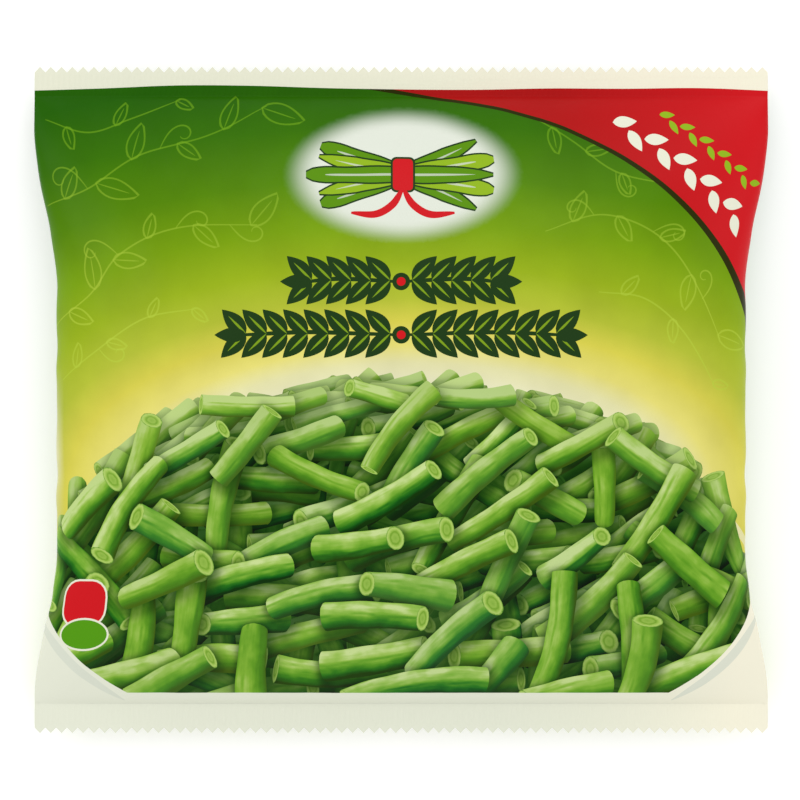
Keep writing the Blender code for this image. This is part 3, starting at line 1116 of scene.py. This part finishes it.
def fin_sheet(material):
    """The fin: both edges of the web, sealed together and folded flat along the back."""
    half = round(FIN_WIDTH / 2 / CRIMP_PITCH * 4)
    columns = np.arange(-half, half + 1) * CRIMP_PITCH / 4
    rows = np.linspace(-TOOTH_ROOT, TOOTH_ROOT, round(2 * TOOTH_ROOT / FIN_ROW_STEP))
    u, y = np.meshgrid(columns, rows)
    tooth = TOOTH_DEPTH * (1 - np.abs(np.abs(columns) / CRIMP_PITCH % 2 - 1))
    y[0] -= tooth
    y[-1] += tooth
    u, y = u.ravel(), y.ravel()

    def fin_face(u, y):
        point = back_face(u, y)
        from_root = unit((u - columns[0]) / FIN_ROOT)
        ribs = 0.5 * CRIMP_HEIGHT * np.sin(tau * u / CRIMP_PITCH)
        point[..., 2] -= FILM + FIN_LIFT * from_root * (2 - from_root) + ribs
        point[..., 2] = np.maximum(point[..., 2], 0.0)
        return point

    lower = fin_face(u, y)
    normal = slope(fin_face, u, y)
    upper = lower + normal * 1.5 * FILM
    wide, count = len(columns), len(u)
    at = (np.arange(len(rows) - 1)[:, None] * wide + np.arange(wide - 1)).ravel()
    faces = np.stack([at, at + wide, at + wide + 1, at + 1], axis=1).tolist()
    faces += (np.stack([at, at + 1, at + wide + 1, at + wide], axis=1) + count).tolist()
    sides = [np.arange(wide), np.arange(len(rows)) * wide + wide - 1]
    sides += [count - 1 - np.arange(wide), (len(rows) - 1 - np.arange(len(rows))) * wide]
    for side in sides:
        faces += [(a, b, b + count, a + count) for a, b in zip(side.tolist(), side[1:].tolist())]
    flat = np.stack([u / BAG_HEIGHT, y / BAG_HEIGHT], axis=1) * 0.95 + 0.5
    uv = np.concatenate([flat - (0.2, 0), flat + (0.2, 0)])
    verts, normals = np.concatenate([lower, upper]), np.concatenate([-normal, normal])
    return make_mesh("film_fin", verts, faces, uv, normals, material)


# Materials


class Value:
    """What a material's node gives out, with plain arithmetic for numbers."""

    def __init__(self, nodes, socket):
        self.nodes = nodes
        self.socket = socket

    def __add__(self, other):
        return self.nodes.math("ADD", self, other)

    def __sub__(self, other):
        return self.nodes.math("SUBTRACT", self, other)

    def __rsub__(self, other):
        return self.nodes.math("SUBTRACT", other, self)

    def __mul__(self, other):
        return self.nodes.math("MULTIPLY", self, other)


class Nodes:
    """Short ways to add shader nodes to a material."""

    def __init__(self, name):
        self.material = bpy.data.materials.new(name)
        self.material.use_nodes = True
        self.tree = self.material.node_tree
        self.inputs = self.tree.nodes["Principled BSDF"].inputs

    def set(self, socket, value):
        if isinstance(value, Value):
            self.tree.links.new(value.socket, socket)
        else:
            socket.default_value = value

    def surface(self, **values):
        """Sets the shader's own inputs, with _ for a space in their names."""
        for key, value in values.items():
            self.set(self.inputs[key.replace("_", " ")], value)

    def node(self, kind, inputs=(), output=0, **settings):
        made = self.tree.nodes.new("ShaderNode" + kind)
        for key, value in settings.items():
            setattr(made, key, value)
        for key, value in dict(inputs).items():
            self.set(made.inputs[key], value)
        return Value(self, made.outputs[output])

    def math(self, operation, *values):
        return self.node("Math", enumerate(values), operation=operation)

    def vector(self, operation, *values):
        output = "Value" if operation == "LENGTH" else "Vector"
        return self.node("VectorMath", enumerate(values), output, operation=operation)

    def attribute(self, name, output="Vector"):
        return self.node("Attribute", (), output, attribute_name=name)

    def parts(self, vector):
        made = self.node("SeparateXYZ", {"Vector": vector})
        return [Value(self, part) for part in made.socket.node.outputs]

    def join(self, x, y, z):
        return self.node("CombineXYZ", {"X": x, "Y": y, "Z": z})

    def noise(self, vector, scale, detail=2.0, rough=0.5):
        inputs = {"Vector": vector, "Scale": scale, "Detail": detail, "Roughness": rough}
        return self.node("TexNoise", inputs, "Fac")

    def bump(self, height, strength, distance):
        inputs = {"Height": height, "Strength": strength, "Distance": distance}
        return self.node("Bump", inputs, "Normal")

    def ramp(self, value, stops):
        made = self.node("ValToRGB", {"Fac": value}, "Color")
        band = made.socket.node.color_ramp.elements
        while len(band) < len(stops):
            band.new(0.5)
        for element, (at, colour) in zip(band, stops):
            element.position = at
            element.color = (*colour, 1)
        return made

    def mix(self, factor, a, b, blend="MIX"):
        made = self.node("Mix", data_type="RGBA", blend_type=blend).socket.node
        for key, value in (("Factor", factor), ("A", a), ("B", b)):
            self.set(made.inputs[key], value)
        return Value(self, made.outputs["Result"])

    def scaled(self, value, low, high, new_low=0.0, new_high=1.0):
        """A value's range from low to high, moved to a new range and cut off at its ends."""
        ends = {"From Min": low, "From Max": high, "To Min": new_low, "To Max": new_high}
        return self.node("MapRange", {"Value": value, **ends}, "Result")

    def drawn(self, seed, turn, low, high, start=0.0):
        """A number that a bean's seed decides, in a range."""
        return self.scaled(self.math("FRACT", seed * turn), start, 1.0, low, high)


# The ground's display colours, by the distance from its middle in mm
GROUND_STOPS = (
    (36, (238, 236, 196)),
    (41, (234, 231, 176)),
    (46, (236, 227, 124)),
    (53, (222, 214, 84)),
    (60, (184, 196, 60)),
    (70, (156, 182, 36)),
    (82, (124, 164, 24)),
    (96, (88, 138, 10)),
    (112, (60, 116, 8)),
    (128, (42, 100, 12)),
)
GROUND_MIDDLE = (3.0, -30.0)


def ground_colour(n, place):
    """The printed ground: cream over the heap, through yellow and lime to dark green."""
    shifted = n.vector("SUBTRACT", place, (*GROUND_MIDDLE, 0.0))
    squeezed = n.vector("MULTIPLY", shifted, (0.5, 1.0, 0.0))
    low, high = GROUND_STOPS[0][0], GROUND_STOPS[-1][0]
    share = n.scaled(n.vector("LENGTH", squeezed), low, high)
    stops = [((at - low) / (high - low), ink(*colour)) for at, colour in GROUND_STOPS]
    mottle = n.scaled(n.noise(place, 0.05, 3), 0.3, 0.7, 0.93, 1.07)
    return n.mix(1.0, n.ramp(share, stops), n.join(mottle, mottle, mottle), "MULTIPLY")


SKIN_STOPS = (
    (0.0, (4, 52, 16)),
    (0.2, (10, 88, 28)),
    (0.4, (44, 122, 32)),
    (0.58, (92, 158, 42)),
    (0.74, (134, 186, 64)),
    (0.88, (172, 208, 102)),
    (1.0, (212, 232, 158)),
)
CUT_STOPS = (
    (0.0, (140, 182, 70)),
    (0.34, (156, 194, 82)),
    (0.5, (122, 168, 52)),
    (0.66, (160, 198, 84)),
    (0.84, (186, 214, 114)),
    (0.93, (150, 190, 84)),
    (1.0, (88, 142, 44)),
)
SKIN_RANGE = (-0.27, 0.95)
SIDE_LIGHT, TOP_LIGHT, FAR_LIGHT = 0.7, 0.58, 0.36
FAR_WARMTH, FAR_HAZE = 0.3, 0.08


def inks(stops):
    """A ramp's stops, from display colours to inks."""
    return [(at, ink(*colour)) for at, colour in stops]


def solid(*colour):
    """An ink as a colour that a node's input takes."""
    return (*ink(*colour), 1.0)


def bean_colour(n, bean, look, cut):
    """The skin of a printed bean, and its cut face."""
    along, across, seed = n.parts(bean)
    light, shade, kind = n.parts(look)
    cut_x, cut_y, fade = n.parts(cut)
    apart = seed * 97.0

    height = n.math("SQRT", n.math("MAXIMUM", 1.0 - across * across, 0.0))
    streaks = n.noise(n.join(along * 0.07, across * 2.6, apart), 1.0, 4)
    blotches = n.noise(n.join(along * 0.16, across * 0.9, apart), 1.0, 2)
    lit = across * light * SIDE_LIGHT + height * TOP_LIGHT
    lit += n.scaled(streaks, 0.25, 0.75, -0.13, 0.13)
    lit += n.scaled(blotches, 0.25, 0.75, -0.16, 0.16)
    lit += fade * FAR_LIGHT
    wander = n.scaled(n.noise(n.join(along * 0.06, apart, 0.0), 1.0, 1), 0.3, 0.7, -0.1, 0.1)
    from_crease = n.math("ABSOLUTE", across - n.drawn(seed, 31.3, -0.6, 0.6) - wander)
    crease = n.scaled(from_crease, 0.03, 0.16, 0.24, 0.0)
    lit -= crease * n.scaled(blotches, 0.4, 0.6)
    skin = n.ramp(n.scaled(lit, *SKIN_RANGE), inks(SKIN_STOPS))
    warm = n.drawn(seed, 13.7, 0.0, 0.3) + fade * FAR_WARMTH
    skin = n.mix(warm, skin, solid(140, 180, 40))
    skin = n.mix(n.drawn(seed, 57.1, 0.0, 0.2, start=0.5), skin, solid(60, 140, 78))

    grain = n.noise(n.join(cut_x + apart, cut_y, 0.0), 3.0, 3)
    rings = n.vector("LENGTH", n.join(cut_x, cut_y, 0.0)) + n.scaled(grain, 0.3, 0.7, -0.05, 0.05)
    face = n.ramp(rings, inks(CUT_STOPS))
    colour = n.mix(n.math("GREATER_THAN", kind, 1.5), skin, face)
    shading = n.mix(shade, solid(16, 92, 14), (1.0, 1.0, 1.0, 1.0))
    colour = n.mix(1.0, colour, shading, "MULTIPLY")
    colour = n.mix(fade * fade * FAR_HAZE, colour, (*HAZE, 1.0))
    return colour, n.math("GREATER_THAN", kind, 0.5)


def film_material():
    n = Nodes("printed_film")
    uv = n.node("UVMap", uv_map="OFBake")
    from_middle = n.vector("SUBTRACT", uv, (*PRINT_MIDDLE, 0.0))
    place = n.vector("MULTIPLY", from_middle, (PRINT_TILE, PRINT_TILE, 0.0))
    cover, look = n.attribute("ink", "Alpha"), n.attribute("look")
    colour = n.mix(cover, ground_colour(n, place), n.attribute("ink", "Color"))
    beans, is_bean = bean_colour(n, n.attribute("bean"), look, n.attribute("cut"))
    shade = n.parts(look)[1]
    under = n.mix(1.0, colour, n.join(shade, shade, shade), "MULTIPLY")

    space = n.node("TexCoord", output="Object")
    relief = n.noise(space, 160, 3, 0.6) + n.noise(space, 1400, 2) * 0.12
    n.surface(
        Base_Color=n.mix(is_bean, under, beans),
        Roughness=n.scaled(n.noise(space, 60, 3), 0.3, 0.7, 0.3, 0.42),
        Specular_IOR_Level=0.06,
        Normal=n.bump(relief, 0.25, 0.0006),
    )
    return n.material


def bean_material():
    """Blanched pod skin, with darker streaks and a thin frost."""
    n = Nodes("bean_green")
    space = n.node("TexCoord", output="Object")
    stops = ((0.3, (46, 108, 34)), (0.55, (96, 154, 50)), (0.75, (150, 190, 92)))
    frost = n.scaled(n.noise(space, 900, 2), 0.58, 0.7, 0.0, 0.5)
    n.surface(
        Base_Color=n.mix(frost, n.ramp(n.noise(space, 220, 4), inks(stops)), solid(226, 236, 226)),
        Roughness=n.scaled(frost, 0.0, 0.5, 0.42, 0.8),
        Normal=n.bump(n.noise(space, 500, 3), 0.3, 0.0004),
    )
    return n.material


# The scene


def build_stage():
    bpy.ops.mesh.primitive_plane_add(size=8, location=(0, 0, -0.0002))
    floor = bpy.context.object
    floor.name = "floor"
    n = Nodes("pale_floor")
    n.surface(Base_Color=(0.8, 0.8, 0.8, 1), Roughness=0.9)
    n.surface(Emission_Color=(1, 1, 1, 1), Emission_Strength=0.32)
    floor.data.materials.append(n.material)


def add_light(name, place, size, power):
    data = bpy.data.lights.new(name, "AREA")
    data.shape = "RECTANGLE"
    data.size, data.size_y = size
    data.energy = power
    light = bpy.data.objects.new(name, data)
    light.location = place
    light.rotation_mode = "QUATERNION"
    light.rotation_quaternion = (-Vector(place)).to_track_quat("-Z", "Y")
    bpy.context.scene.collection.objects.link(light)


def light_scene():
    for name, place, power in (
        ("left", (-1.3, 0.5, 1.1), 5.5),
        ("right", (1.4, 0.2, 1.0), 3.0),
        ("back", (0.2, 1.4, 1.1), 5.0),
        ("front", (0.0, -1.5, 1.0), 3.0),
    ):
        add_light(name, place, (1.0, 0.8), power)
    world = bpy.data.worlds.new("studio")
    bpy.context.scene.world = world
    world.use_nodes = True
    world.node_tree.nodes["Background"].inputs["Color"].default_value = (1, 1, 1, 1)
    world.node_tree.nodes["Background"].inputs["Strength"].default_value = 0.78
    bpy.context.scene.view_settings.view_transform = "Standard"


VIEW_WIDTH = 240.1
VIEW_MIDDLE = -0.35
LENS = 300
SENSOR = 36


def place_camera():
    """Straight above the bag, far off, with the frame a little wider than the seals."""
    data = bpy.data.cameras.new("camera")
    data.lens, data.sensor_width = LENS, SENSOR
    distance = VIEW_WIDTH * MM * LENS / SENSOR
    camera = bpy.data.objects.new("camera", data)
    camera.location = (VIEW_MIDDLE * MM, 0, SEAL_LEVEL * MM + distance)
    bpy.context.scene.collection.objects.link(camera)
    bpy.context.scene.camera = camera


def build_film():
    material = film_material()
    outline = film_outline()
    heap = lay_heap()
    front = film_sheet("film_front", front_face, 1, [outline], front_patches(), heap, material)
    vents = [
        ellipse((across_film(x, VENT_ROW, BACK_ARC), VENT_ROW), VENT_RADIUS, steps=16)
        for x in VENT_COLUMNS
    ]
    back = film_sheet("film_back", back_face, -1, [outline, *vents], back_patches(), [], material)
    return front, back, fin_sheet(material)


def main():
    place_camera()
    light_scene()
    build_stage()
    for piece in build_film():
        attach(piece, "root")
        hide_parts("film")
    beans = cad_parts["bean_pieces"]
    beans.data.materials.clear()
    beans.data.materials.append(bean_material())


main()
